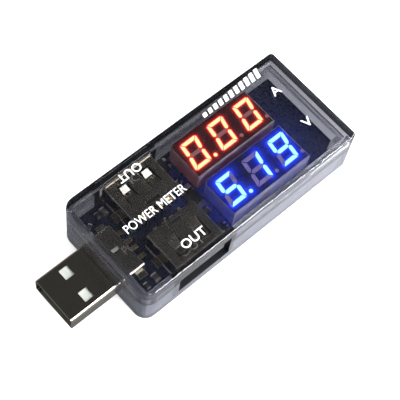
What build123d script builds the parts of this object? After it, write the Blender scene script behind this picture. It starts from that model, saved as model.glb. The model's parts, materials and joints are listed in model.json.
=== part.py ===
from build123d import *
import os
from math import radians, tan

# Inline power meter with one USB-A plug, two USB-A output ports and two
# three-digit LED displays, in millimetres. The origin is the middle of the
# case's underside, +X runs from the plug end to the display end, +Y points
# out of output port B, and +Z points up through the window cover.

# ---------------------------------------------------------------- case
case_length = 61.0
case_width = 27.6
case_height = 13.8
half_length = case_length / 2
half_width = case_width / 2
wall = 1.5
floor = 1.3
cover_plate = 1.3
plug_end_corner_radius = 3.0
plug_end_inner_corner_radius = 0.5
display_end_corner_radius = 1.0
smallest_corner_radius = 0.4
cover_front_round = 1.3
cover_edge_round = 0.4
base_edge_round = 0.7
seam_z = 8.2
lip_thickness = 0.7
lip_top_z = 10.4
lip_root_depth = 0.5
lip_clearance = 0.05
skirt_rebate_top_z = 10.6
skirt_inset = wall - lip_thickness - lip_clearance
snap_bead_z = 9.4
snap_bead_x = 12.0
snap_bead_length = 9.0
snap_bead_radius = 0.2
snap_groove_radius = 0.3
support_post_side = 2.4
support_post_inset = 2.5
locating_post_length = 2.3
locating_post_width = 2.2
locating_post_top_z = 9.6
through = 2 * case_width

# ---------------------------------------------------------------- board
board_thickness = 1.2
board_bottom_z = 4.8
board_top_z = board_bottom_z + board_thickness
board_end_gap = 0.2
board_side_gap = 0.5
board_half_length = half_length - wall - board_end_gap
board_half_width = half_width - wall - board_side_gap
board_corner_radius = 1.6
board_cut = 4 * board_thickness
pin_hole_radius = 0.5
slot_clearance = 0.2

# ---------------------------------------------------------------- contacts
contact_width = 1.0
contact_thickness = 0.25
outer_contact_offset = 3.5
inner_contact_offset = 1.0
contact_names = ("power", "data_minus", "data_plus", "ground")
contact_offsets = (-outer_contact_offset, -inner_contact_offset, inner_contact_offset, outer_contact_offset)

# ---------------------------------------------------------------- plug
plug_width = 12.0
plug_height = 4.5
plug_skin = 0.3
plug_bottom_z = 3.5
plug_top_z = plug_bottom_z + plug_height
plug_middle_z = plug_bottom_z + plug_height / 2
plug_reach = 13.0
plug_length = 19.6
plug_tip_x = -half_length - plug_reach
plug_back_x = plug_tip_x + plug_length
plug_corner_radius = 0.7
plug_rim_round = 0.12
plug_passage_clearance = 0.15
latch_hole_width = 2.5
latch_hole_length = 2.1
latch_hole_from_tip = 6.0
latch_hole_offset = 3.15
crimp_window_length = 1.7
crimp_window_width = 0.8
crimp_window_from_case = 4.0
crimp_window_offset = 0.6
plug_wing_reach = 1.5
plug_wing_length = 2.0
plug_wing_inset = 0.4
plug_tongue_width = 11.0
plug_tongue_thickness = 1.9
plug_tongue_recess = 0.8
plug_tongue_lead_in = 0.5
plug_tongue_corner = 0.3
plug_block_front_x = -half_length - 1.6
plug_block_back_x = -half_length + 5.2
plug_block_clearance = 0.05
plug_contact_proud = 0.05
outer_contact_setback = 1.4
inner_contact_setback = 2.4
plug_tail_step_x = -half_length + 5.4
plug_tail_length = 3.4

# ---------------------------------------------------------------- ports
port_center_x = -13.8
port_width = 13.1
port_height = 5.8
port_skin = 0.3
port_bottom_z = 5.4
port_top_z = port_bottom_z + port_height
port_middle_z = port_bottom_z + port_height / 2
port_mouth_y = 12.0
port_back_y = 2.2
port_corner_radius = 0.5
port_lip = 0.35
port_lip_relief = 1.2
port_window_width = 14.4
port_window_bottom_z = 3.6
port_window_top_z = 11.0
spring_offset = 3.05
spring_window_width = 3.0
spring_window_y = 10.4
spring_root_y = 5.4
spring_root_lap = 0.3
spring_knee_y = 8.3
spring_tip_y = 9.8
spring_press = 0.55
spring_tip_drop = 0.05
spring_root_width = 2.3
spring_tip_width = 1.6
back_slot_width = 3.6
back_slot_near_y = 2.9
back_slot_far_y = 3.9
back_plate_width = 11.2
back_plate_height = 1.3
port_wing_reach = 1.35
port_wing_near_y = 5.6
port_wing_far_y = 7.8
port_wing_middle_y = (port_wing_near_y + port_wing_far_y) / 2
port_leg_offset = port_width / 2 + port_wing_reach - port_skin / 2
port_leg_width = 2.0
port_leg_bottom_z = 3.8
overlap_into_shell = 0.2

# ---------------------------------------------------------------- port mouldings
housing_front_y = 4.6
housing_clearance = 0.05
housing_edge_chamfer = 0.25
housing_tongue_width = 11.1
housing_tongue_y = 10.5
housing_tongue_bottom_z = port_bottom_z + 3.0
housing_tongue_thickness = 1.85
housing_tongue_lead_in = 0.35
finger_groove_width = 1.3
finger_groove_depth = 1.2
finger_groove_y = 10.2
finger_root_y = 4.75
finger_root_z = port_bottom_z + 3.62
finger_knee_y = 7.2
finger_knee_drop = 0.12
finger_crown_y = 8.5
finger_crown_half = 0.25
finger_crown_z = port_bottom_z + 2.72
finger_tip_y = 9.85
finger_tip_drop = 0.05
tail_front_y = 4.65
tail_row_y = 1.4
tail_leg_width = 0.6
tail_bottom_z = 3.9

# ---------------------------------------------------------------- displays
display_center_x = 8.0
display_center_y = 5.65
display_length = 22.5
display_width = 10.0
display_height = 6.1
display_circuit_thickness = 1.0
display_circuit_inset = 0.15
display_top_z = board_top_z + display_height
display_edge_chamfer = 0.25
display_corner_cut = 0.9
segment_depth = 1.6
digit_pitch = 7.7
digit_width = 4.5
digit_height = 7.0
digit_stroke = 0.98
segment_gap = 0.12
digit_slant = tan(radians(10.0))
point_offset_x = 3.0
point_offset_y = -3.05
point_radius = 0.48
amps_reading = "000"
volts_reading = "519"
display_pin_pitch = 2.54
display_pin_row_offset = 3.81
display_pin_side = 0.5
pins_per_row = 6
lit_segments = {"0": "abcdef", "1": "bc", "5": "acdfg", "9": "abcdfg"}

# ---------------------------------------------------------------- small parts on the board
# Each place is x, y and a turn in degrees.
solder_radius = 0.85
solder_tip_radius = 0.35
solder_height = 0.9
solder_bore_clearance = 0.01
chip_standoff = 0.1
chip_edge_share = 0.18
chip_edge_chamfer = 0.18
lead_thickness = 0.18
lead_shoulder_height = 0.55
lead_width_share = 0.35
controller_place = (24.2, 0.0, 90.0)
amplifier_place = (-5.15, -9.9, 90.0)
regulator_place = (-5.15, 9.9, 90.0)
shunt_place = (-5.2, 0.0, 90.0)
buffer_capacitor_place = (23.6, 7.4, 90.0)
top_resistor_places = [(-26.9, 8.6, 35.0), (-23.8, 9.6, 90.0), (-26.2, -9.4, 90.0), (-5.2, 4.5, 90.0)]
bottom_resistor_places = [(-1.2, 0.0, 90.0), (-1.2, 3.0, 90.0), (-1.2, -3.0, 90.0), (17.2, 5.6, 0.0)]
capacitor_places = [(-22.3, 9.4, 90.0), (-23.6, -9.2, 90.0), (-5.2, -4.5, 0.0)]


def block(x_range, y_range, z_range):
    """A box between two limits on each axis."""
    size = [high - low for low, high in (x_range, y_range, z_range)]
    middle = [(high + low) / 2 for low, high in (x_range, y_range, z_range)]
    return Pos(*middle) * Box(*size)


def centered_block(center, size):
    """A box about a centre point."""
    return Pos(*center) * Box(*size)


def span(center, width):
    """The two limits of a width about its centre."""
    return (center - width / 2, center + width / 2)


def case_block(inset, bottom_z, top_z):
    """The case's rounded plan, pulled in by an inset and raised between two heights."""
    plan = Rectangle(case_length - 2 * inset, case_width - 2 * inset)
    plug_end = plan.vertices().group_by(Axis.X)[0]
    sharpening = (plug_end_corner_radius - plug_end_inner_corner_radius) / wall
    plan = fillet(plug_end, plug_end_corner_radius - inset * sharpening)
    display_end = plan.vertices().group_by(Axis.X)[-1]
    plan = fillet(display_end, max(display_end_corner_radius - inset, smallest_corner_radius))
    return Pos(0, 0, bottom_z) * extrude(plan, top_z - bottom_z)


def port_windows(top_z):
    """The two port openings, as one block across the case."""
    return block(span(port_center_x, port_window_width), span(0, through),
                 (port_window_bottom_z, top_z))


def plug_passage():
    """The notch that the plug takes in the case's end wall."""
    return block((-case_length, -half_length + wall), span(0, plug_width + 2 * plug_passage_clearance),
                 (plug_bottom_z - plug_passage_clearance, case_height))


def snap_line(side, radius, length, y):
    """A round bar along one long wall, for a snap bead or its groove."""
    return Pos(snap_bead_x, side * y, snap_bead_z) * Rot(0, 90, 0) * Cylinder(radius, length)


def lower_case():
    """The translucent tray: floor, walls, inner lip, plug notch, port windows, posts."""
    body = case_block(0, 0, seam_z)
    body = fillet(body.faces().sort_by(Axis.Z)[0].edges(), base_edge_round)
    body += case_block(wall - lip_thickness, seam_z - lip_root_depth, lip_top_z)
    body -= case_block(wall, floor, case_height)
    body -= plug_passage()
    body -= port_windows(case_height)
    post_x = half_length - wall - support_post_inset
    post_y = half_width - wall - support_post_inset
    for x in (-post_x, post_x):
        for y in (-post_y, post_y):
            body += block(span(x, support_post_side), span(y, support_post_side), (floor, board_bottom_z))
    corner_x = half_length - wall
    corner_y = half_width - wall
    body += block((corner_x - locating_post_length, corner_x), (-corner_y, locating_post_width - corner_y),
                  (floor, locating_post_top_z))
    for side in (-1, 1):
        body -= snap_line(side, snap_groove_radius, snap_bead_length + 0.2, corner_y + lip_thickness)
    return body


def window_cover():
    """The smoky lid: plate, skirt rebated to fit over the lip, and two snap beads."""
    body = case_block(0, seam_z, case_height)
    body = fillet(body.faces().sort_by(Axis.Z)[-1].edges(), cover_edge_round)
    side_view = block(span(0, case_length), span(0, through), (seam_z, case_height))
    front_edge = side_view.edges().filter_by(Axis.Y).group_by(Axis.Z)[-1].sort_by(Axis.X)[0]
    body &= fillet(front_edge, cover_front_round)
    body -= case_block(wall, seam_z, case_height - cover_plate)
    body -= case_block(skirt_inset, seam_z, skirt_rebate_top_z)
    body -= port_windows(port_window_top_z)
    skirt_y = half_width - skirt_inset
    for side in (-1, 1):
        bead = snap_line(side, snap_bead_radius, snap_bead_length, skirt_y)
        body += bead & block(span(0, case_length), sorted((side * 0.0, side * (skirt_y + 0.1))),
                             (seam_z, case_height))
    return body


def tail_points():
    """Where the eight port tails pass through the board."""
    points = []
    for side in (-1, 1):
        for offset in contact_offsets:
            points.append((port_center_x + offset, side * tail_row_y))
    return points


def display_pin_points(side):
    """Where one display's twelve pins stand on the board."""
    points = []
    for row in (-1, 1):
        for index in range(pins_per_row):
            x = display_center_x + (index - (pins_per_row - 1) / 2) * display_pin_pitch
            points.append((x, side * display_center_y + row * display_pin_row_offset))
    return points


def circuit_board():
    """The board, cut out for the sunk plug and ports and drilled for pins and legs."""
    cut_z = span(board_top_z, board_cut)
    body = block((-board_half_length, board_half_length), (-board_half_width, board_half_width),
                 (board_bottom_z, board_top_z))
    body = fillet(body.edges().filter_by(Axis.Z).group_by(Axis.X)[0], board_corner_radius)
    plug_cut_width = plug_width + 2 * slot_clearance
    body -= block((-case_length, plug_back_x + slot_clearance), span(0, plug_cut_width), cut_z)
    port_cut_width = port_width + 2 * slot_clearance
    for side in (-1, 1):
        inner_y = side * (port_back_y - slot_clearance)
        body -= block(span(port_center_x, port_cut_width), sorted((inner_y, side * case_width)), cut_z)
        body -= block(span(port_center_x, port_cut_width + 2 * port_lip),
                      span(side * port_mouth_y, port_lip_relief), cut_z)
        for hand in (-1, 1):
            body -= block(span(port_center_x + hand * port_leg_offset, port_skin + 2 * slot_clearance),
                          span(side * port_wing_middle_y, port_leg_width + 2 * slot_clearance), cut_z)
    notch_x = half_length - wall - locating_post_length - slot_clearance
    notch_y = half_width - wall - locating_post_width - slot_clearance
    body -= block((notch_x, case_length), (-case_width, -notch_y), cut_z)
    for x, y in tail_points() + display_pin_points(-1) + display_pin_points(1):
        body -= Pos(x, y, board_top_z) * Cylinder(pin_hole_radius, board_cut)
    return body


def shell_tube(plane, width, height, radius, depth):
    """A rounded rectangular bar, the outside or inside of a folded metal shell."""
    return extrude(plane * RectangleRounded(width, height, radius), depth)


def plug_shell():
    """The plug's folded shell with latch holes, a crimp window and side wings."""
    mouth = Plane.YZ.offset(plug_tip_x)
    lift = Pos(0, 0, plug_middle_z)
    body = lift * shell_tube(mouth, plug_width, plug_height, plug_corner_radius, plug_length)
    body = fillet(body.faces().sort_by(Axis.X)[0].edges(), plug_rim_round)
    body -= lift * shell_tube(mouth, plug_width - 2 * plug_skin, plug_height - 2 * plug_skin,
                              plug_corner_radius - plug_skin, plug_length)
    for side in (-1, 1):
        body -= centered_block((plug_tip_x + latch_hole_from_tip, side * latch_hole_offset, plug_middle_z),
                               (latch_hole_length, latch_hole_width, 2 * plug_height))
    body -= centered_block((-half_length + crimp_window_from_case, crimp_window_offset, plug_top_z),
                           (crimp_window_length, crimp_window_width, 2 * plug_skin))
    wing_x = plug_back_x - plug_wing_inset - plug_wing_length / 2
    wing_near = plug_width / 2 - overlap_into_shell
    wing_far = plug_width / 2 + plug_wing_reach
    for side in (-1, 1):
        body += block(span(wing_x, plug_wing_length), sorted((side * wing_near, side * wing_far)),
                      (board_top_z, board_top_z + plug_skin))
    return body


def plug_contact(offset):
    """One flat plug contact: a blade under the tongue, a step, and a tail on the board."""
    is_data = abs(offset) == inner_contact_offset
    setback = inner_contact_setback if is_data else outer_contact_setback
    bottom_z = plug_top_z - plug_skin - plug_tongue_thickness - plug_contact_proud
    tail_top_z = board_top_z + contact_thickness
    y_range = span(offset, contact_width)
    step_front_x = plug_tail_step_x - contact_thickness
    body = block((plug_tip_x + setback, plug_tail_step_x), y_range, (bottom_z, bottom_z + contact_thickness))
    body += block((step_front_x, plug_tail_step_x), y_range, (bottom_z, tail_top_z))
    body += block((step_front_x, plug_tail_step_x + plug_tail_length), y_range, (board_top_z, tail_top_z))
    return body


def plug_insulator():
    """The white moulding: a tongue against the plug's top wall and a block behind it."""
    top_z = plug_top_z - plug_skin
    tongue = block((plug_tip_x + plug_tongue_recess, -half_length), span(0, plug_tongue_width),
                   (top_z - plug_tongue_thickness, top_z))
    tongue = chamfer(tongue.edges().filter_by(Axis.Y).group_by(Axis.Z)[0].sort_by(Axis.X)[0],
                     plug_tongue_lead_in)
    tongue = chamfer(tongue.edges().filter_by(Axis.X).group_by(Axis.Z)[-1], plug_tongue_corner)
    rear = block((plug_block_front_x, plug_block_back_x),
                 span(0, plug_width - 2 * plug_skin - 2 * plug_block_clearance),
                 (plug_bottom_z + plug_skin, top_z))
    rear = fillet(rear.edges().filter_by(Axis.X), plug_corner_radius - plug_skin)
    body = tongue + rear
    for offset in contact_offsets:
        body -= plug_contact(offset)
    return body


def bent_strip(center_x, side_points, thickness, width):
    """A flat spring whose side view follows a line of (y, z) points, thickened upwards."""
    upper = [(y, z + thickness) for y, z in reversed(side_points)]
    side_face = Plane.YZ * make_face(Polyline(*side_points, *upper, close=True))
    return Pos(center_x - width / 2, 0, 0) * extrude(side_face, width)


def shell_spring(center_x, outer_z, outward):
    """One tongue of a port's shell: rooted at the back, pressed inwards, curled at its tip."""
    rest_z = outer_z - port_skin if outward > 0 else outer_z
    side_points = [
        (-spring_root_y + spring_root_lap, rest_z),
        (-spring_root_y - spring_root_lap, rest_z),
        (-spring_knee_y, rest_z - outward * spring_press),
        (-spring_tip_y, rest_z - outward * spring_tip_drop),
    ]
    body = bent_strip(center_x, side_points, port_skin, spring_root_width)
    root_end_y = -spring_root_y - 2 * spring_root_lap
    beyond_tip_y = -spring_tip_y - spring_root_lap
    for hand in (-1, 1):
        taper = make_face(Polyline(
            (center_x + hand * spring_root_width / 2, root_end_y),
            (center_x + hand * spring_root_width, root_end_y),
            (center_x + hand * spring_root_width, beyond_tip_y),
            (center_x + hand * spring_tip_width / 2, beyond_tip_y),
            close=True,
        ))
        body -= Pos(0, 0, outer_z - port_height / 2) * extrude(taper, port_height)
    return body


def port_shell():
    """Port A's folded shell: tube, flared mouth, springs, back slot, wings and legs."""
    depth = port_mouth_y - port_back_y
    place = Pos(port_center_x, -port_back_y, port_middle_z)
    mouth = Pos(port_center_x, port_skin - port_mouth_y, port_middle_z)
    body = place * shell_tube(Plane.XZ, port_width, port_height, port_corner_radius, depth)
    body += mouth * shell_tube(Plane.XZ, port_width + 2 * port_lip, port_height + 2 * port_lip,
                               port_corner_radius + port_lip, port_skin)
    body -= place * shell_tube(Plane.XZ, port_width - 2 * port_skin, port_height - 2 * port_skin,
                               port_corner_radius - port_skin, 2 * depth)
    for outward, outer_z in ((1, port_top_z), (-1, port_bottom_z)):
        for hand in (-1, 1):
            spring_x = port_center_x + hand * spring_offset
            body -= block(span(spring_x, spring_window_width), (-spring_window_y, -spring_root_y),
                          span(outer_z, 3 * port_skin))
            body += shell_spring(spring_x, outer_z, outward)
    body -= block(span(port_center_x, back_slot_width), (-back_slot_far_y, -back_slot_near_y),
                  span(port_top_z, 3 * port_skin))
    body += block(span(port_center_x, back_plate_width), (-port_back_y - port_skin, -port_back_y),
                  (port_top_z - port_skin - back_plate_height, port_top_z - port_skin))
    for hand in (-1, 1):
        near_x = port_center_x + hand * (port_width / 2 - overlap_into_shell)
        far_x = port_center_x + hand * (port_width / 2 + port_wing_reach)
        body += block(sorted((near_x, far_x)), (-port_wing_far_y, -port_wing_near_y),
                      (board_top_z, board_top_z + port_skin))
        body += block(span(port_center_x + hand * port_leg_offset, port_skin),
                      span(-port_wing_middle_y, port_leg_width),
                      (port_leg_bottom_z, board_top_z + port_skin))
    return body


def contact_tail(offset):
    """The held part of a port A contact: through the moulding and down through the board."""
    center_x = port_center_x + offset
    top_z = finger_root_z + contact_thickness
    back_y = contact_thickness / 2 - tail_row_y
    run = block(span(center_x, contact_width), (-tail_front_y, back_y), (finger_root_z, top_z))
    leg = block(span(center_x, tail_leg_width), (back_y - contact_thickness, back_y), (tail_bottom_z, top_z))
    return run + leg


def contact_finger(offset):
    """The springing part of a port A contact, from the moulding to its tip near the mouth."""
    side_points = [
        (-finger_root_y, finger_root_z),
        (-finger_knee_y, finger_root_z - finger_knee_drop),
        (-finger_crown_y + finger_crown_half, finger_crown_z),
        (-finger_crown_y - finger_crown_half, finger_crown_z),
        (-finger_tip_y, finger_root_z - finger_tip_drop),
    ]
    return bent_strip(port_center_x + offset, side_points, contact_thickness, contact_width)


def port_housing():
    """Port A's black moulding: block at the back and a tongue with four finger grooves."""
    body = block(span(port_center_x, port_width - 2 * port_skin - 2 * housing_clearance),
                 (-housing_front_y, -port_back_y - port_skin),
                 (port_bottom_z + port_skin + housing_clearance, port_top_z - port_skin - housing_clearance))
    body = chamfer(body.edges().filter_by(Axis.Y), housing_edge_chamfer)
    tongue = block(span(port_center_x, housing_tongue_width), (-housing_tongue_y, -housing_front_y),
                   (housing_tongue_bottom_z, housing_tongue_bottom_z + housing_tongue_thickness))
    tip_edges = tongue.faces().sort_by(Axis.Y)[0].edges().filter_by(Axis.X)
    body += chamfer(tip_edges, housing_tongue_lead_in)
    for offset in contact_offsets:
        body -= block(span(port_center_x + offset, finger_groove_width), (-finger_groove_y, -tail_front_y),
                      (housing_tongue_bottom_z - finger_groove_depth,
                       housing_tongue_bottom_z + finger_groove_depth))
        body -= contact_tail(offset)
    return body


def as_port_b(shape):
    """A port A piece turned half a turn about the ports' shared centre."""
    return Pos(port_center_x, 0, 0) * Rot(0, 0, 180) * Pos(-port_center_x, 0, 0) * shape


def segment_outlines():
    """Corner points of the seven segments of an upright digit about its centre."""
    w = digit_width / 2
    h = digit_height / 2
    s = digit_stroke
    g = segment_gap
    cap = [(g - w, h), (w - g, h), (w - s - g, h - s), (s + g - w, h - s)]
    side = [(-w, h - g), (s - w, h - s - g), (s - w, s / 2 + g), (s / 2 - w, g), (-w, s / 2 + g)]
    bar_left = [(s + g - w, -s / 2), (s / 2 + g - w, 0), (s + g - w, s / 2)]
    bar = bar_left + [(-x, -y) for x, y in bar_left]
    return {
        "a": cap,
        "b": [(-x, y) for x, y in side],
        "c": [(-x, -y) for x, y in side],
        "d": [(x, -y) for x, y in cap],
        "e": [(x, -y) for x, y in side],
        "f": side,
        "g": bar,
    }


def segment_bar(points, center_x, center_y):
    """One leaning segment, as a bar that reaches down from the display's face."""
    leaning = [(center_x + x + y * digit_slant, center_y + y) for x, y in points]
    face = make_face(Polyline(*leaning, close=True))
    return Pos(0, 0, display_top_z - segment_depth) * extrude(face, segment_depth)


def display_segments(side, reading):
    """A display's lit and unlit light pipes for its reading, with the first point lit."""
    lit = []
    unlit = []
    center_y = side * display_center_y
    for index, digit in enumerate(reading):
        center_x = display_center_x + (index - 1) * digit_pitch
        for name, points in segment_outlines().items():
            group = lit if name in lit_segments[digit] else unlit
            group.append(segment_bar(points, center_x, center_y))
        point = Pos(center_x + point_offset_x, center_y + point_offset_y,
                    display_top_z - segment_depth / 2) * Cylinder(point_radius, segment_depth)
        group = lit if index == 0 else unlit
        group.append(point)
    return lit, unlit


def display_case(side, segments):
    """A display's moulded block, pocketed for its light pipes."""
    body = block(span(display_center_x, display_length), span(side * display_center_y, display_width),
                 (board_top_z + display_circuit_thickness, display_top_z))
    marked_corner = body.edges().filter_by(Axis.Z).group_by(Axis.X)[0].sort_by(Axis.Y)[-1]
    body = chamfer(marked_corner, display_corner_cut)
    body = chamfer(body.faces().sort_by(Axis.Z)[-1].edges(), display_edge_chamfer)
    for segment in segments:
        body -= segment
    return body


def display_circuit(side):
    """The small circuit plate under a display's block."""
    return block(span(display_center_x, display_length - 2 * display_circuit_inset),
                 span(side * display_center_y, display_width - 2 * display_circuit_inset),
                 (board_top_z, board_top_z + display_circuit_thickness))


def display_pins(side):
    """A display's twelve pins, through the board."""
    pins = []
    for x, y in display_pin_points(side):
        pins.append(block(span(x, display_pin_side), span(y, display_pin_side),
                          (board_bottom_z, board_top_z)))
    return pins


def solder_cone(x, y):
    """A small solder cone under the board."""
    cone = Cone(solder_tip_radius, solder_radius, solder_height)
    return Pos(x, y, board_bottom_z - solder_height / 2) * cone


def display_solder():
    """The solder cones of both displays' pins."""
    return [solder_cone(x, y) for x, y in display_pin_points(-1) + display_pin_points(1)]


def tail_solder():
    """The solder around the port tails, open for the tails."""
    joints = []
    bore_size = (tail_leg_width + 2 * solder_bore_clearance,
                 contact_thickness + 2 * solder_bore_clearance, board_cut)
    for x, y in tail_points():
        joints.append(solder_cone(x, y) - centered_block((x, y, board_bottom_z), bore_size))
    return joints


def board_place(spot, face_z):
    """The place of a small part on one face of the board."""
    x, y, turn = spot
    return Pos(x, y, face_z) * Rot(0, 0, turn)


def chip_package(place, length, width, height, direction):
    """A moulded chip body, above (+1) or below (-1) its board face."""
    edge = min(height * chip_edge_share, chip_edge_chamfer)
    lift = direction * (chip_standoff + height / 2)
    return place * Pos(0, 0, lift) * chamfer(Box(length, width, height).edges(), edge)


def gull_leads(place, count_per_side, pitch, half_body, direction):
    """Two rows of bent leads beside a chip: shoulder, riser and foot."""
    leads = []
    width = pitch * lead_width_share
    top_z = lead_shoulder_height + lead_thickness / 2
    for side in (-1, 1):
        for index in range(count_per_side):
            x_range = span((index - (count_per_side - 1) / 2) * pitch, width)
            shoulder = block(x_range, sorted((side * half_body, side * (half_body + 0.5))),
                             sorted((direction * (top_z - lead_thickness), direction * top_z)))
            riser = block(x_range, sorted((side * (half_body + 0.36), side * (half_body + 0.54))),
                          sorted((0, direction * top_z)))
            foot = block(x_range, sorted((side * (half_body + 0.45), side * (half_body + 0.95))),
                         sorted((0, direction * lead_thickness)))
            leads.append(place * (shoulder + riser + foot))
    return leads


def two_ended_chips(spots, length, width, height, face_z, direction):
    """Small two-ended chips: their bodies, and their metal end caps."""
    bodies = []
    ends = []
    end_length = length * 0.18
    for spot in spots:
        place = board_place(spot, face_z) * Pos(0, 0, direction * height / 2)
        bodies.append(place * Box(length - 2 * end_length, width, height))
        for side in (-1, 1):
            ends.append(place * Pos(side * (length - end_length) / 2, 0, 0) * Box(end_length, width, height))
    return bodies, ends


def case_nodes():
    """The two halves of the case."""
    return {"lower_case": lower_case(), "window_cover": window_cover()}


def plug_nodes():
    """The plug's shell, moulding and contacts."""
    nodes = {"plug_shell": plug_shell(), "plug_insulator": plug_insulator()}
    for name, offset in zip(contact_names, contact_offsets):
        nodes[f"plug_contact_{name}"] = plug_contact(offset)
    return nodes


def port_nodes():
    """Both ports' shells, mouldings, springing fingers and held tails."""
    nodes = {"port_a_shell": port_shell(), "port_a_housing": port_housing()}
    for name, offset in zip(contact_names, contact_offsets):
        nodes[f"port_a_finger_{name}"] = contact_finger(offset)
    nodes.update({name.replace("port_a", "port_b"): as_port_b(shape) for name, shape in nodes.items()})
    tails = [contact_tail(offset) for offset in contact_offsets]
    nodes["port_a_contact_tails"] = tails
    nodes["port_b_contact_tails"] = [as_port_b(tail) for tail in tails]
    return nodes


def display_nodes():
    """Both displays' blocks, light pipes, circuit plates and pins."""
    nodes = {}
    for name, side, reading in (("amps", 1, amps_reading), ("volts", -1, volts_reading)):
        lit, unlit = display_segments(side, reading)
        nodes[f"{name}_display_case"] = display_case(side, lit + unlit)
        nodes[f"{name}_lit_segments"] = lit
        nodes[f"{name}_unlit_segments"] = unlit
        nodes[f"{name}_display_circuit"] = display_circuit(side)
        nodes[f"{name}_display_pins"] = display_pins(side)
    return nodes


def board_nodes():
    """The circuit board and what is soldered to it."""
    controller = board_place(controller_place, board_bottom_z)
    amplifier = board_place(amplifier_place, board_top_z)
    regulator = board_place(regulator_place, board_top_z)
    top_resistors, top_ends = two_ended_chips(top_resistor_places, 1.6, 0.85, 0.5, board_top_z, 1)
    low_resistors, low_ends = two_ended_chips(bottom_resistor_places, 1.6, 0.85, 0.5, board_bottom_z, -1)
    capacitors, capacitor_ends = two_ended_chips(capacitor_places, 2.0, 1.25, 0.9, board_top_z, 1)
    shunt, shunt_ends = two_ended_chips([shunt_place], 6.3, 3.1, 0.6, board_top_z, 1)
    buffer, buffer_ends = two_ended_chips([buffer_capacitor_place], 3.5, 2.8, 1.9, board_bottom_z, -1)
    return {
        "circuit_board": circuit_board(),
        "controller_chip": chip_package(controller, 7.2, 5.3, 1.5, -1),
        "controller_leads": gull_leads(controller, 10, 0.65, 2.65, -1),
        "amplifier_chip": chip_package(amplifier, 2.9, 1.6, 1.0, 1),
        "amplifier_leads": gull_leads(amplifier, 3, 0.95, 0.8, 1),
        "voltage_regulator": chip_package(regulator, 2.9, 1.6, 1.0, 1),
        "regulator_leads": gull_leads(regulator, 2, 1.9, 0.8, 1),
        "current_shunt": shunt,
        "current_shunt_ends": shunt_ends,
        "buffer_capacitor": buffer,
        "buffer_capacitor_ends": buffer_ends,
        "chip_resistors": top_resistors + low_resistors,
        "chip_resistor_ends": top_ends + low_ends,
        "chip_capacitors": capacitors,
        "chip_capacitor_ends": capacitor_ends,
        "display_solder": display_solder(),
        "port_tail_solder": tail_solder(),
    }


def main():
    """Writes one STEP file for each node."""
    os.makedirs("parts", exist_ok=True)
    for group in (case_nodes(), plug_nodes(), port_nodes(), display_nodes(), board_nodes()):
        for name, shape in group.items():
            if isinstance(shape, list):
                shape = Compound(children=shape)
            export_step(shape, f"parts/{name}.step")


main()
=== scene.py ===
import json
from math import cos, radians, sin

import bpy
import numpy as np
from mathutils import Matrix, Vector


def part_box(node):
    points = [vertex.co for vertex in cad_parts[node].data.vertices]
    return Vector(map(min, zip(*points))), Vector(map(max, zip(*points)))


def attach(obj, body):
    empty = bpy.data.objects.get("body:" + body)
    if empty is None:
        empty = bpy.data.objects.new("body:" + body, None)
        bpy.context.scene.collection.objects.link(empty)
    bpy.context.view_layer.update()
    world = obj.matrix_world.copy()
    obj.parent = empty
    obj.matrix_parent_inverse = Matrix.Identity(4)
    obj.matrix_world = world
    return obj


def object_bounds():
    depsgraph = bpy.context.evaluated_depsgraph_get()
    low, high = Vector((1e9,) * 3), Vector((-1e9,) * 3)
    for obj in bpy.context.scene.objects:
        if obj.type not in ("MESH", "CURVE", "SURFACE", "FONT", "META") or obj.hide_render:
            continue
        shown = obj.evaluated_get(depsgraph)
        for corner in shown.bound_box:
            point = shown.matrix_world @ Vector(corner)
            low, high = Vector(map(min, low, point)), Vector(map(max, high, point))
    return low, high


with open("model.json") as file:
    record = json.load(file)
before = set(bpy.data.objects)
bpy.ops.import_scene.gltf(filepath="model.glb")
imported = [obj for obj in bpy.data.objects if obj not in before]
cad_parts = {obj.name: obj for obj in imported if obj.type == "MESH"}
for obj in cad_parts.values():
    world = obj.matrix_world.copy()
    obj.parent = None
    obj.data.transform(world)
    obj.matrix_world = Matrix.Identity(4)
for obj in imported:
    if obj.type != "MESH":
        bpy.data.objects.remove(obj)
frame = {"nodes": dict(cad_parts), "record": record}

# The looks of an inline power meter, in metres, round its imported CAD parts.
cad_low, cad_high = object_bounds()
nodes = frame["nodes"]
mm = 0.001

# ---------------------------------------------------------------- view
camera_azimuth = radians(-51.864)
camera_elevation = radians(63.157)
camera_roll = radians(11.175)
camera_distance = 251.87 * mm
camera_aim = Vector((-4.38, -1.66, 7.0)) * mm
sensor_width = 36.0
focal_length = 104.52

# ---------------------------------------------------------------- light
floor_half = 2.5
floor_gap = 0.02 * mm
floor_glow = 0.45
bounce_dim = 0.24
bounce_bright = 0.95
bounce_slope = (0.60, -0.80, 0.0)
horizon_glow = 0.55
ceiling_glow = 0.05
horizon_end = 0.10
ceiling_start = 0.55
everywhere = {"diffuse": True, "glossy": True, "through": True}
matt_only = {"diffuse": True, "glossy": False, "through": False}
not_glossy = {"diffuse": True, "glossy": False, "through": True}
glossy_only = {"diffuse": False, "glossy": True, "through": False}
# Each lamp's name, place from the part's middle, width, depth, power, and which surfaces see it.
lamps = (
    ("light_above", (0.0, 0.0, 0.9), 1.2, 1.2, 12.0, matt_only),
    ("light_fill", (0.62, -0.10, 0.62), 0.5, 0.5, 9.0, everywhere),
    ("light_sparkle", (0.28, -0.26, 0.70), 0.16, 0.16, 0.35, everywhere),
    ("light_key", (0.25, -0.75, 0.38), 0.8, 0.7, 26.0, not_glossy),
    ("light_edge", (0.31, -0.62, 0.52), 0.25, 0.9, 20.0, glossy_only),
)

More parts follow.
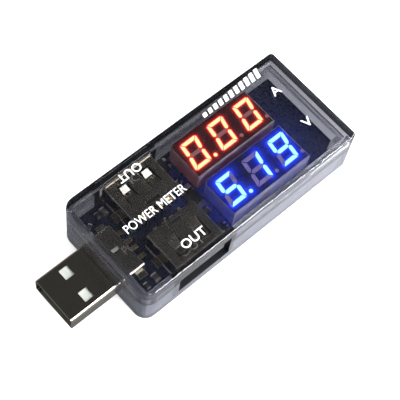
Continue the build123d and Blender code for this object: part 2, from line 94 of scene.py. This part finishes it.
# ---------------------------------------------------------------- case and its windows
cover_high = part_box("window_cover")[1]
cover_top_z = cover_high.z
case_half_width = cover_high.y
case_wall = 1.55 * mm
case_skin = 0.03 * mm
port_low, port_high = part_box("port_a_shell")
port_middle_x = (port_low.x + port_high.x) / 2
window_margin = 0.75 * mm
window_drop = 2.0 * mm
lintel_depth = 0.5 * mm

# ---------------------------------------------------------------- finishes
worn_radius = 0.12 * mm
moulding_grain = 0.002 * mm
moulding_grain_scale = 9000.0
scratch_depth = 0.0002 * mm
tarnish_amount = 0.45
# Pale colour of rubbed metal edges: partly real wear, partly a painted highlight.
rim_colour_wear_and_highlight = (0.95, 0.84, 0.66)
clear_plastic = (0.97, 0.97, 0.98)
# Near-black painted shade for the sill and sides of the port windows.
painted_cut_shade = (0.004, 0.004, 0.006)
track_scale = 520.0
track_block_scale = 240.0
via_scale = 420.0
via_radius = 0.13
via_threshold = 0.82
# How far the board's painted blue glow reaches from the blue digits, in millimetres.
painted_glow_reach_mm = 4.0

# ---------------------------------------------------------------- labels
ink_thickness = 0.012 * mm
ink_sink = 0.004 * mm
thick_strokes = 0.004
thin_strokes = -0.004
bar_count = 11
bar_share = 0.62
bar_lean = 0.3
# Each label's name, words, middle, width and height, turn, and how much its strokes are thickened.
labels = (
    ("label_amps", "A", (24.0 * mm, 5.75 * mm), (2.3 * mm, 2.2 * mm), 0.0, thick_strokes),
    ("label_volts", "V", (24.0 * mm, -4.5 * mm), (2.2 * mm, 2.2 * mm), 0.0, thick_strokes),
    ("label_out_a", "OUT", (port_middle_x - 0.1 * mm, -9.4 * mm), (6.3 * mm, 2.05 * mm), 0.0, thick_strokes),
    ("label_out_b", "OUT", (port_middle_x - 0.55 * mm, 10.55 * mm), (6.0 * mm, 2.05 * mm),
     radians(180.0), thick_strokes),
    ("label_meter", "POWER METER", (-15.65 * mm, 0.75 * mm), (16.3 * mm, 2.0 * mm), 0.0, thin_strokes),
)


def input_named(node, key):
    """The input of a node by its name in small letters, or by its number as in3."""
    if key[:2] == "in" and key[2:].isdigit():
        return node.inputs[int(key[2:])]
    for socket in node.inputs:
        if socket.name.lower().replace(" ", "_") == key:
            return socket
    raise KeyError(f"{node.bl_idname} has no input {key}")


class Shader:
    """Writes the node tree of one material."""

    def __init__(self, name):
        self.material = bpy.data.materials.new(name)
        self.material.use_nodes = True
        self.tree = self.material.node_tree
        self.tree.nodes.clear()
        self.out = self.tree.nodes.new("ShaderNodeOutputMaterial")

    def add(self, kind, settings=None, **inputs):
        """A node of that kind; inputs are numbers, colours or other sockets."""
        node = self.tree.nodes.new("ShaderNode" + kind)
        for key, value in (settings or {}).items():
            setattr(node, key, value)
        for key, value in inputs.items():
            target = input_named(node, key)
            if isinstance(value, bpy.types.NodeSocket):
                self.tree.links.new(value, target)
            elif hasattr(value, "__len__") and len(value) == 3 and len(target.default_value) == 4:
                target.default_value = (*value, 1.0)
            else:
                target.default_value = value
        return node

    def math(self, operation, first, second=0.0, clamp=False):
        settings = {"operation": operation, "use_clamp": clamp}
        return self.add("Math", settings, in0=first, in1=second).outputs[0]

    def vector_math(self, operation, first, second):
        return self.add("VectorMath", {"operation": operation}, in0=first, in1=second)

    def place(self, stretch=(1, 1, 1)):
        """The point on the part, in metres, stretched along each axis."""
        point = self.add("TexCoord").outputs["Object"]
        return self.add("Mapping", vector=point, scale=stretch).outputs[0]

    def noise(self, scale, detail, stretch=(1, 1, 1), roughness=0.5):
        return self.add("TexNoise", vector=self.place(stretch), scale=scale, detail=detail,
                        roughness=roughness).outputs[0]

    def remap(self, value, low, high, to_low, to_high):
        return self.add("MapRange", value=value, from_min=low, from_max=high,
                        to_min=to_low, to_max=to_high).outputs[0]

    def mix_colours(self, factor, first, second):
        return self.add("Mix", {"data_type": "RGBA"}, in0=factor, in6=first, in7=second).outputs[2]

    def mix_shaders(self, factor, first, second):
        return self.add("MixShader", in0=factor, in1=first, in2=second).outputs[0]

    def bump(self, height, distance):
        return self.add("Bump", strength=1.0, distance=distance, height=height).outputs[0]

    def edges(self, radius, low=0.06, high=0.30):
        """Nearly one along convex and concave edges, nearly none on flat faces."""
        bent = self.add("Bevel", {"samples": 8}, radius=radius).outputs[0]
        flat = self.add("NewGeometry").outputs["Normal"]
        same = self.vector_math("DOT_PRODUCT", bent, flat).outputs["Value"]
        return self.remap(self.math("SUBTRACT", 1.0, same), low, high, 0.0, 1.0)

    def finish(self, surface, volume=None):
        self.tree.links.new(surface, self.out.inputs["Surface"])
        if volume is not None:
            self.tree.links.new(volume, self.out.inputs["Volume"])
        return self.material


def moulded(name, dark, pale, roughness):
    """Satin moulded plastic: mottled colour, fine grain, paler along worn edges."""
    s = Shader(name)
    mottle = s.remap(s.noise(450.0, 4.0), 0.35, 0.65, 0.0, 1.0)
    colour = s.mix_colours(mottle, dark, pale)
    worn = s.math("MULTIPLY", s.edges(worn_radius), s.remap(s.noise(1500.0, 3.0), 0.4, 0.7, 0.0, 0.5))
    colour = s.mix_colours(worn, colour, tuple(min(1.0, c * 1.6 + 0.03) for c in pale))
    rough = s.remap(s.noise(1200.0, 3.0), 0.3, 0.7, roughness * 0.8, roughness * 1.2)
    normal = s.bump(s.noise(moulding_grain_scale, 2.0), moulding_grain)
    body = s.add("BsdfPrincipled", base_color=colour, roughness=rough, normal=normal)
    return s.finish(body.outputs[0])


def plated(name, base, tarnish, roughness, stretch, worn=0.8):
    """Plated metal: drawn scratches, patches of dullness, a touch of tarnish, edges rubbed pale, their pale
    colour partly real wear and partly a painted highlight.
    """
    s = Shader(name)
    # Edges rubbed pale: partly real wear, partly a painted highlight line along them.
    rim_wear_and_highlight = s.math("MULTIPLY", s.edges(worn_radius), worn)
    patch = s.remap(s.noise(260.0, 4.0), 0.38, 0.68, 0.0, tarnish_amount)
    streak = s.noise(2600.0, 4.0, stretch)
    colour = s.mix_colours(rim_wear_and_highlight, s.mix_colours(patch, base, tarnish), rim_colour_wear_and_highlight)
    rough = s.math("ADD", s.remap(streak, 0.3, 0.7, roughness * 0.88, roughness * 1.12),
                   s.math("MULTIPLY", patch, 0.04))
    rough = s.math("ADD", rough, s.math("MULTIPLY", rim_wear_and_highlight, 0.35))
    normal = s.bump(streak, scratch_depth)
    body = s.add("BsdfPrincipled", base_color=colour, metallic=1.0, roughness=rough, normal=normal)
    return s.finish(body.outputs[0])


def inside_range(s, value, low, high):
    """One where the value lies between two limits, none elsewhere."""
    above = s.math("GREATER_THAN", value, low)
    return s.math("MULTIPLY", above, s.math("LESS_THAN", value, high))


def painted_shade_window_mask(s):
    """One on the sill and sides of the windows cut for the ports, none elsewhere: where painted shade
    darkens them.
    """
    split = s.add("SeparateXYZ", vector=s.add("TexCoord").outputs["Object"]).outputs
    across = s.math("ABSOLUTE", split[1])
    along = inside_range(s, split[0], port_low.x - window_margin, port_high.x + window_margin)
    deep = inside_range(s, across, case_half_width - case_wall, case_half_width - case_skin)
    tall = inside_range(s, split[2], port_low.z - window_drop, port_high.z - lintel_depth)
    return s.math("MULTIPLY", s.math("MULTIPLY", along, deep), tall)


def smoky(name, soot, density, haze_range, side_haze, haze_colour, gloss_rough, worn_amount):
    """Smoky plastic, darker the thicker it is: scuffed, with frosted steep faces, and painted shade on the
    window cuts, a near-black colour there.
    """
    s = Shader(name)
    scuff = s.remap(s.noise(900.0, 6.0, (1.0, 6.0, 1.0), 0.65), 0.62, 0.78, 0.0, 1.0)
    swirl = s.remap(s.noise(160.0, 4.0), 0.3, 0.7, haze_range[0], haze_range[1])
    worn = s.math("MULTIPLY", s.edges(0.2 * mm, 0.01, 0.2), worn_amount)
    facing = s.add("SeparateXYZ", vector=s.add("TexCoord").outputs["Normal"]).outputs[2]
    level = s.math("ABSOLUTE", facing)
    frosted = s.math("MULTIPLY", s.remap(level, 0.1, 0.5, 1.0, 0.0), side_haze)
    haze = s.math("ADD", s.math("MULTIPLY", scuff, 0.02), s.math("ADD", swirl, worn))
    haze = s.math("ADD", haze, frosted, clamp=True)
    rough = s.math("ADD", s.math("MULTIPLY", scuff, 0.10), gloss_rough)
    dull = s.mix_shaders(0.5, s.add("BsdfDiffuse", color=haze_colour).outputs[0],
                         s.add("BsdfTranslucent", color=haze_colour).outputs[0])
    wavy = s.bump(s.noise(170.0, 2.0), 0.003 * mm)
    glass = s.add("BsdfPrincipled", base_color=clear_plastic, roughness=rough, ior=1.5,
                  transmission_weight=1.0, normal=wavy).outputs[0]
    smoke = s.add("VolumeAbsorption", color=soot, density=density).outputs[0]
    # Painted shade: the window cuts get a near-black colour that stands in for the shade in those recesses.
    matt = s.add("BsdfPrincipled", base_color=painted_cut_shade, roughness=0.5,
                 specular_ior_level=0.15).outputs[0]
    polished = s.mix_shaders(haze, glass, dull)
    return s.finish(s.mix_shaders(painted_shade_window_mask(s), polished, matt), smoke)


def smoky_cover():
    """The lid's smoky plastic."""
    return smoky("smoky_cover", (0.30, 0.30, 0.37), 170.0, (0.002, 0.006), 0.09,
                 (0.44, 0.46, 0.54), 0.02, 0.05)


def grey_case():
    """The tray's smoky moulding, a little cloudier than the lid."""
    return smoky("grey_case", (0.30, 0.30, 0.37), 190.0, (0.26, 0.34), 0.0,
                 (0.50, 0.52, 0.60), 0.10, 0.15)


def board_mask(blue_lines):
    """Dark blue solder mask over raised tracks, with small tinned vias, and a painted blue glow near the
    blue digits that stands in for their light.
    """
    s = Shader("board")
    point = s.place()
    cells = s.add("TexVoronoi", {"distance": "CHEBYCHEV", "feature": "F1"}, vector=point,
                  scale=track_block_scale, randomness=0.9)
    across, along = (
        s.add("TexWave", {"wave_type": "BANDS", "bands_direction": direction}, vector=point,
              scale=track_scale, distortion=0.0).outputs[1] for direction in "XY")
    turn = s.math("GREATER_THAN", s.add("SeparateColor", color=cells.outputs["Color"]).outputs[0], 0.5)
    bands = s.add("Mix", {"data_type": "FLOAT"}, in0=turn, in2=across, in3=along).outputs[0]
    track = s.remap(bands, 0.55, 0.7, 0.0, 1.0)
    mask = s.mix_colours(track, (0.005, 0.008, 0.022), (0.011, 0.018, 0.045))
    spots = s.add("TexVoronoi", {"feature": "F1"}, vector=point, scale=via_scale, randomness=1.0)
    shade = s.add("SeparateColor", color=spots.outputs["Color"]).outputs[1]
    pick = s.math("GREATER_THAN", shade, via_threshold)
    via = s.math("MULTIPLY", s.math("LESS_THAN", spots.outputs["Distance"], via_radius), pick)
    colour = s.mix_colours(via, mask, (0.45, 0.43, 0.38))
    rough = s.remap(s.noise(1500.0, 3.0), 0.3, 0.7, 0.22, 0.36)
    normal = s.bump(s.math("ADD", track, s.math("MULTIPLY", s.noise(3000.0, 2.0), 0.3)), 0.02 * mm)
    # Painted glow: emission on the board, fading with distance from the blue digits, stands in for their
    # light on it.
    reach = s.math("EXPONENT", s.math("MULTIPLY", nearest_line(s, blue_lines), -1 / painted_glow_reach_mm))
    body = s.add("BsdfPrincipled", base_color=colour, roughness=rough, metallic=via, normal=normal,
                 specular_ior_level=0.2, emission_color=(0.025, 0.035, 0.30),
                 emission_strength=s.math("MULTIPLY", reach, 0.8))
    return s.finish(body.outputs[0])


def capsule_distance_group():
    """A node group: how far a point is from the line between two ends, seen from above."""
    group = bpy.data.node_groups.new("capsule_distance", "ShaderNodeTree")
    for name in ("Point", "Start", "End"):
        group.interface.new_socket(name, in_out="INPUT", socket_type="NodeSocketVector")
    group.interface.new_socket("Distance", in_out="OUTPUT", socket_type="NodeSocketFloat")
    inside = group.nodes.new("NodeGroupInput")
    result = group.nodes.new("NodeGroupOutput")

    def vector(operation, first, second):
        node = group.nodes.new("ShaderNodeVectorMath")
        node.operation = operation
        group.links.new(first, node.inputs[0])
        group.links.new(second, node.inputs["Scale"] if operation == "SCALE" else node.inputs[1])
        return node

    away = vector("SUBTRACT", inside.outputs["Point"], inside.outputs["Start"]).outputs[0]
    line = vector("SUBTRACT", inside.outputs["End"], inside.outputs["Start"]).outputs[0]
    share = group.nodes.new("ShaderNodeMath")
    share.operation = "DIVIDE"
    share.use_clamp = True
    group.links.new(vector("DOT_PRODUCT", away, line).outputs["Value"], share.inputs[0])
    group.links.new(vector("DOT_PRODUCT", line, line).outputs["Value"], share.inputs[1])
    nearest = vector("SCALE", line, share.outputs[0]).outputs[0]
    gap = vector("SUBTRACT", away, nearest).outputs[0]
    length = group.nodes.new("ShaderNodeVectorMath")
    length.operation = "LENGTH"
    group.links.new(gap, length.inputs[0])
    group.links.new(length.outputs["Value"], result.inputs["Distance"])
    return group


capsule_distance = capsule_distance_group()


def segment_lines(node_name):
    """The centre line of each light pipe in a node, from the top faces of its mesh."""
    mesh = nodes[node_name].data
    points = np.array([v.co for v in mesh.vertices])
    top_z = points[:, 2].max() - 0.01 * mm
    parent = {}

    def root(key):
        while parent.setdefault(key, key) != key:
            key = parent[key]
        return key

    for face in mesh.polygons:
        corners = [points[i] for i in face.vertices]
        if min(corner[2] for corner in corners) > top_z:
            keys = [tuple(np.round(corner[:2], 6)) for corner in corners]
            for key in keys[1:]:
                parent[root(key)] = root(keys[0])
    groups = {}
    for key in parent:
        groups.setdefault(root(key), []).append(key)
    lines = []
    for keys in groups.values():
        flat = np.array(sorted(keys))
        middle = (flat.min(0) + flat.max(0)) / 2
        vectors = np.linalg.eigh(np.cov((flat - middle).T))[1]
        reach = np.abs((flat - middle) @ vectors[:, 1]).max()
        girth = np.abs((flat - middle) @ vectors[:, 0]).max()
        step = vectors[:, 1] * (reach - girth)
        lines.append((middle - step, middle + step))
    return sorted(lines, key=lambda line: (line[0][0], line[0][1]))


def nearest_line(s, lines):
    """How far the shaded point is from the nearest of those lines, in millimetres."""
    place = s.add("TexCoord").outputs["Object"]
    point = s.vector_math("MULTIPLY", place, (1 / mm, 1 / mm, 0.0)).outputs[0]
    nearest = None
    for start, end in lines:
        node = s.tree.nodes.new("ShaderNodeGroup")
        node.node_tree = capsule_distance
        s.tree.links.new(point, node.inputs["Point"])
        node.inputs["Start"].default_value = (start[0] / mm, start[1] / mm, 0.0)
        node.inputs["End"].default_value = (end[0] / mm, end[1] / mm, 0.0)
        distance = node.outputs[0]
        nearest = distance if nearest is None else s.math("MINIMUM", nearest, distance)
    return nearest


def lit_segments(name, lines, core, rim, strength):
    """Lit light pipes: hot along the middle, deeper in colour at the rim."""
    s = Shader(name)
    distance = nearest_line(s, lines)
    heat = s.remap(distance, 0.30, 0.50, 1.0, 0.0)
    heat = s.math("MULTIPLY", heat, s.remap(s.noise(900.0, 2.0), 0.3, 0.7, 0.9, 1.1))
    colour = s.mix_colours(heat, rim, core)
    body = s.add("BsdfPrincipled", base_color=tuple(c * 0.3 for c in rim), roughness=0.35,
                 emission_color=colour, emission_strength=strength)
    return s.finish(body.outputs[0])


def unlit_segments(name, dark, light, leak):
    """Cloudy light pipes that aren't lit, with a painted glow that stands in for the light they pick up from
    those beside them.
    """
    s = Shader(name)
    colour = s.mix_colours(s.remap(s.noise(1100.0, 4.0), 0.35, 0.65, 0.0, 1.0), dark, light)
    rough = s.remap(s.noise(2000.0, 2.0), 0.3, 0.7, 0.3, 0.5)
    # The emission is a painted glow: the light spilt from the lit segments, painted on.
    body = s.add("BsdfPrincipled", base_color=colour, roughness=rough, emission_color=colour,
                 emission_strength=leak)
    return s.finish(body.outputs[0])


def display_block(name, lines, glow, near, near_reach, far, far_reach):
    """A display's block: matt black face, grey sides, and a painted glow round its lit segments that stands
    in for their spilt light.
    """
    s = Shader(name)
    up = s.add("SeparateXYZ", vector=s.add("TexCoord").outputs["Normal"]).outputs[2]
    face = s.math("GREATER_THAN", up, 0.9)
    grain = s.remap(s.noise(800.0, 4.0), 0.35, 0.65, 0.0, 1.0)
    side = s.mix_colours(grain, (0.16, 0.16, 0.19), (0.21, 0.21, 0.25))
    front = s.mix_colours(grain, (0.003, 0.003, 0.004), (0.006, 0.006, 0.008))
    colour = s.mix_colours(face, side, front)
    distance = nearest_line(s, lines)
    # Painted glow: emission on the block's face and sides near the lit segments stands in for their spilt
    # light.
    painted_near_glow = s.math("MULTIPLY", s.math("EXPONENT", s.math("MULTIPLY", distance, -1 / near_reach)), near)
    painted_far_glow = s.math("MULTIPLY", s.math("EXPONENT", s.math("MULTIPLY", distance, -1 / far_reach)), far)
    leak = s.math("ADD", s.math("MULTIPLY", painted_near_glow, face), painted_far_glow)
    rough = s.remap(s.noise(2500.0, 2.0), 0.3, 0.7, 0.40, 0.6)
    normal = s.bump(s.noise(5000.0, 2.0), 0.002 * mm)
    body = s.add("BsdfPrincipled", base_color=colour, roughness=rough, normal=normal,
                 specular_ior_level=0.15, emission_color=glow, emission_strength=leak)
    return s.finish(body.outputs[0])


def legend_ink():
    """White screen print, a little uneven."""
    s = Shader("legend_ink")
    thin = s.remap(s.noise(2600.0, 4.0), 0.35, 0.7, 0.0, 1.0)
    colour = s.mix_colours(thin, (0.93, 0.94, 0.95), (0.78, 0.79, 0.82))
    body = s.add("BsdfPrincipled", base_color=colour, roughness=0.5)
    return s.finish(body.outputs[0])


def paint(node_name, made):
    """Gives a CAD node its finish."""
    slots = nodes[node_name].material_slots
    if len(slots) == 0:
        nodes[node_name].data.materials.append(made)
    for slot in slots:
        slot.material = made


def finish_cad():
    """Every CAD node's finish, by the record's slot names; the two display blocks have their own."""
    red_lines = segment_lines("amps_lit_segments")
    blue_lines = segment_lines("volts_lit_segments")
    pins_look = ((0.52, 0.52, 0.52), (0.36, 0.35, 0.33), 0.3, (1.0, 1.0, 0.2), 0.4)
    gold_look = ((0.62, 0.48, 0.28), (0.40, 0.31, 0.19), 0.2, (1.0, 0.08, 1.0), 0.4)
    # Each display's painted glow: colour, near strength and reach, far strength and reach.
    red_glow = ((1.0, 0.010, 0.03), 16.0, 0.19, 0.10, 1.6)
    blue_glow = ((0.012, 0.040, 1.0), 3.2, 0.55, 0.46, 1.8)
    finishes = {
        "grey_case": grey_case(),
        "smoky_cover": smoky_cover(),
        "board": board_mask(blue_lines),
        "nickel": plated("nickel", (0.62, 0.58, 0.50), (0.50, 0.46, 0.38), 0.10, (0.06, 1.0, 1.0)),
        "white_moulding": moulded("white_moulding", (0.28, 0.30, 0.28), (0.33, 0.35, 0.32), 0.45),
        "black_moulding": moulded("black_moulding", (0.012, 0.012, 0.013), (0.022, 0.021, 0.022), 0.42),
        "display_circuit": moulded("display_circuit", (0.012, 0.030, 0.018), (0.020, 0.045, 0.028), 0.3),
        "tinned_pins": plated("tinned_pins", *pins_look),
        "red_lit": lit_segments("red_lit", red_lines, (1.0, 0.74, 0.30), (0.85, 0.012, 0.03), 2.1),
        "blue_lit": lit_segments("blue_lit", blue_lines, (0.42, 1.0, 1.0), (0.03, 0.26, 1.0), 1.9),
        # The last number of each unlit look is the strength of its painted glow.
        "red_unlit": unlit_segments("red_unlit", (0.15, 0.045, 0.050), (0.20, 0.062, 0.066), 0.9),
        "blue_unlit": unlit_segments("blue_unlit", (0.080, 0.064, 0.20), (0.11, 0.088, 0.28), 0.9),
        "chip_black": moulded("chip_black", (0.014, 0.014, 0.016), (0.028, 0.028, 0.030), 0.5),
        "capacitor_yellow": moulded("capacitor_yellow", (0.52, 0.33, 0.08), (0.62, 0.42, 0.12), 0.45),
        "ceramic_tan": moulded("ceramic_tan", (0.05, 0.042, 0.036), (0.08, 0.066, 0.055), 0.5),
        "contact_gold": plated("contact_gold", *gold_look),
        "solder": plated("solder", (0.70, 0.71, 0.72), (0.45, 0.45, 0.44), 0.25, (1.0, 1.0, 1.0)),
    }
    for part in frame["record"]["subparts"]:
        if part["material_slot"] in finishes:
            paint(part["node"], finishes[part["material_slot"]])
    paint("amps_display_case", display_block("display_block_red", red_lines, *red_glow))
    paint("volts_display_case", display_block("display_block_blue", blue_lines, *blue_glow))


def print_mesh(name, mesh, ink):
    """Turns a flat printed mesh into a piece on the cover."""
    piece = bpy.data.objects.new(name, mesh)
    bpy.context.scene.collection.objects.link(piece)
    mesh.materials.clear()
    mesh.materials.append(ink)
    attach(piece, "meter")
    return piece


def printed_words(name, words, middle, size, turn, weight, ink):
    """Words printed on the cover, stretched to their width and height and turned about the vertical."""
    curve = bpy.data.curves.new(name, "FONT")
    curve.body = words
    curve.extrude = 0.5
    curve.offset = weight
    curve.resolution_u = 4
    source = bpy.data.objects.new(name + "_source", curve)
    bpy.context.scene.collection.objects.link(source)
    bpy.context.view_layer.update()
    evaluated = source.evaluated_get(bpy.context.evaluated_depsgraph_get())
    mesh = bpy.data.meshes.new_from_object(evaluated)
    bpy.data.objects.remove(source)
    bpy.data.curves.remove(curve)
    points = np.array([v.co for v in mesh.vertices])
    low, high = points.min(0), points.max(0)
    scale = Vector((size[0] / (high[0] - low[0]), size[1] / (high[1] - low[1]), ink_thickness))
    centre = Vector(((low + high) / 2).tolist())
    rest_z = cover_top_z - ink_sink + ink_thickness / 2
    place = (Matrix.Translation((middle[0], middle[1], rest_z)) @ Matrix.Rotation(turn, 4, "Z")
             @ Matrix.Diagonal((*scale, 1.0)) @ Matrix.Translation(-centre))
    mesh.transform(place)
    return print_mesh(name, mesh, ink)


def level_bars(name, x_range, base_y, heights, ink):
    """A plain row of leaning bars that rise from left to right."""
    corners, faces = [], []
    low, high = heights
    pitch = (x_range[1] - x_range[0]) / bar_count
    bar = pitch * bar_share
    z_pair = (cover_top_z - ink_sink, cover_top_z - ink_sink + ink_thickness)
    for index in range(bar_count):
        height = low + (high - low) * index / (bar_count - 1)
        lean = height * bar_lean
        x = x_range[0] + index * pitch
        base = len(corners)
        top_y = base_y + height
        outline = [(x, base_y), (x + bar, base_y), (x + bar + lean, top_y), (x + lean, top_y)]
        for z in z_pair:
            corners.extend((px, py, z) for px, py in outline)
        faces.append([base + k for k in (3, 2, 1, 0)])
        faces.append([base + 4 + k for k in range(4)])
        faces.extend([base + k, base + (k + 1) % 4, base + 4 + (k + 1) % 4, base + 4 + k] for k in range(4))
    mesh = bpy.data.meshes.new(name)
    mesh.from_pydata(corners, [], faces)
    mesh.update()
    return print_mesh(name, mesh, ink)


def print_labels():
    """All the print on the cover."""
    ink = legend_ink()
    for label in labels:
        printed_words(*label, ink)
    level_bars("label_bars", (7.0 * mm, 24.6 * mm), 10.5 * mm, (1.0 * mm, 2.3 * mm), ink)


def add_floor():
    """A plain pale floor. What the part mirrors of it is brighter on the key light's side."""
    mesh = bpy.data.meshes.new("floor")
    rest_z = cad_low.z - floor_gap
    corners = [(x * floor_half, y * floor_half, rest_z) for x, y in ((-1, -1), (1, -1), (1, 1), (-1, 1))]
    mesh.from_pydata(corners, [], [(0, 1, 2, 3)])
    floor = bpy.data.objects.new("floor", mesh)
    bpy.context.scene.collection.objects.link(floor)
    s = Shader("floor")
    shade = s.mix_colours(s.noise(3.0, 2.0), (0.90, 0.90, 0.90), (0.93, 0.93, 0.93))
    seen = s.add("BsdfPrincipled", base_color=shade, roughness=0.9, specular_ior_level=0.1,
                 emission_color=shade, emission_strength=floor_glow).outputs[0]
    point = s.add("TexCoord").outputs["Object"]
    toward_key = s.vector_math("DOT_PRODUCT", point, bounce_slope).outputs["Value"]
    strength = s.remap(toward_key, -0.01, 0.03, bounce_dim, bounce_bright)
    bounced = s.add("Emission", color=(0.97, 0.98, 1.0), strength=strength).outputs[0]
    is_camera = s.add("LightPath").outputs["Is Camera Ray"]
    mesh.materials.append(s.finish(s.mix_shaders(is_camera, bounced, seen)))


def add_area_light(name, middle, target, width, depth, power, diffuse, glossy, through):
    """A soft box that faces a target, and whether matt, shiny and clear surfaces see it."""
    data = bpy.data.lights.new(name, "AREA")
    data.shape = "RECTANGLE"
    data.size = width
    data.size_y = depth
    data.energy = power
    lamp = bpy.data.objects.new(name, data)
    lamp.location = middle
    lamp.rotation_euler = (Vector(target) - Vector(middle)).to_track_quat("-Z", "Y").to_euler()
    lamp.visible_diffuse = diffuse
    lamp.visible_glossy = glossy
    lamp.visible_transmission = through
    bpy.context.scene.collection.objects.link(lamp)


def add_world():
    """A pale backdrop for the camera; for the part, a bright horizon under a dim ceiling."""
    world = bpy.data.worlds.new("studio")
    bpy.context.scene.world = world
    world.use_nodes = True
    tree = world.node_tree
    tree.nodes.clear()

    def node(kind):
        return tree.nodes.new("ShaderNode" + kind)

    out, seen, lit, path, mix = (node(kind) for kind in (
        "OutputWorld", "Background", "Background", "LightPath", "MixShader"))
    seen.inputs["Color"].default_value = (1.0, 1.0, 1.0, 1.0)
    coordinates, split, ramp = node("TexCoord"), node("SeparateXYZ"), node("ValToRGB")
    tree.links.new(coordinates.outputs["Generated"], split.inputs[0])
    tree.links.new(split.outputs[2], ramp.inputs[0])
    elements = ramp.color_ramp.elements
    elements[0].position, elements[0].color = horizon_end, (*(horizon_glow,) * 3, 1.0)
    elements[1].position, elements[1].color = ceiling_start, (*(ceiling_glow,) * 3, 1.0)
    tree.links.new(ramp.outputs[0], lit.inputs["Color"])
    tree.links.new(path.outputs["Is Camera Ray"], mix.inputs[0])
    tree.links.new(lit.outputs[0], mix.inputs[1])
    tree.links.new(seen.outputs[0], mix.inputs[2])
    tree.links.new(mix.outputs[0], out.inputs["Surface"])


def add_lights():
    """Soft studio light: one above, a fill past the display end, a key on port A's side, two for gloss."""
    centre = (cad_low + cad_high) / 2
    for name, offset, width, depth, power, seen_by in lamps:
        add_area_light(name, centre + Vector(offset), centre, width, depth, power, **seen_by)
    add_world()


def add_camera():
    """The camera at the photographed angle."""
    a, e, r = camera_azimuth, camera_elevation, camera_roll
    back = Vector((sin(a) * cos(e), -cos(a) * cos(e), sin(e)))
    level = Vector((cos(a), sin(a), 0.0))
    upright = back.cross(level)
    right = level * cos(r) + upright * sin(r)
    up = upright * cos(r) - level * sin(r)
    data = bpy.data.cameras.new("camera")
    data.sensor_width = sensor_width
    data.lens = focal_length
    data.clip_start = 0.01
    data.clip_end = 20.0
    camera = bpy.data.objects.new("camera", data)
    turn = Matrix((right, up, back)).transposed().to_4x4()
    camera.matrix_world = Matrix.Translation(camera_aim + back * camera_distance) @ turn
    bpy.context.scene.collection.objects.link(camera)
    bpy.context.scene.camera = camera


bpy.context.scene.view_settings.view_transform = "Standard"
bpy.context.scene.cycles.transparent_max_bounces = 24
finish_cad()
print_labels()
add_floor()
add_lights()
add_camera()
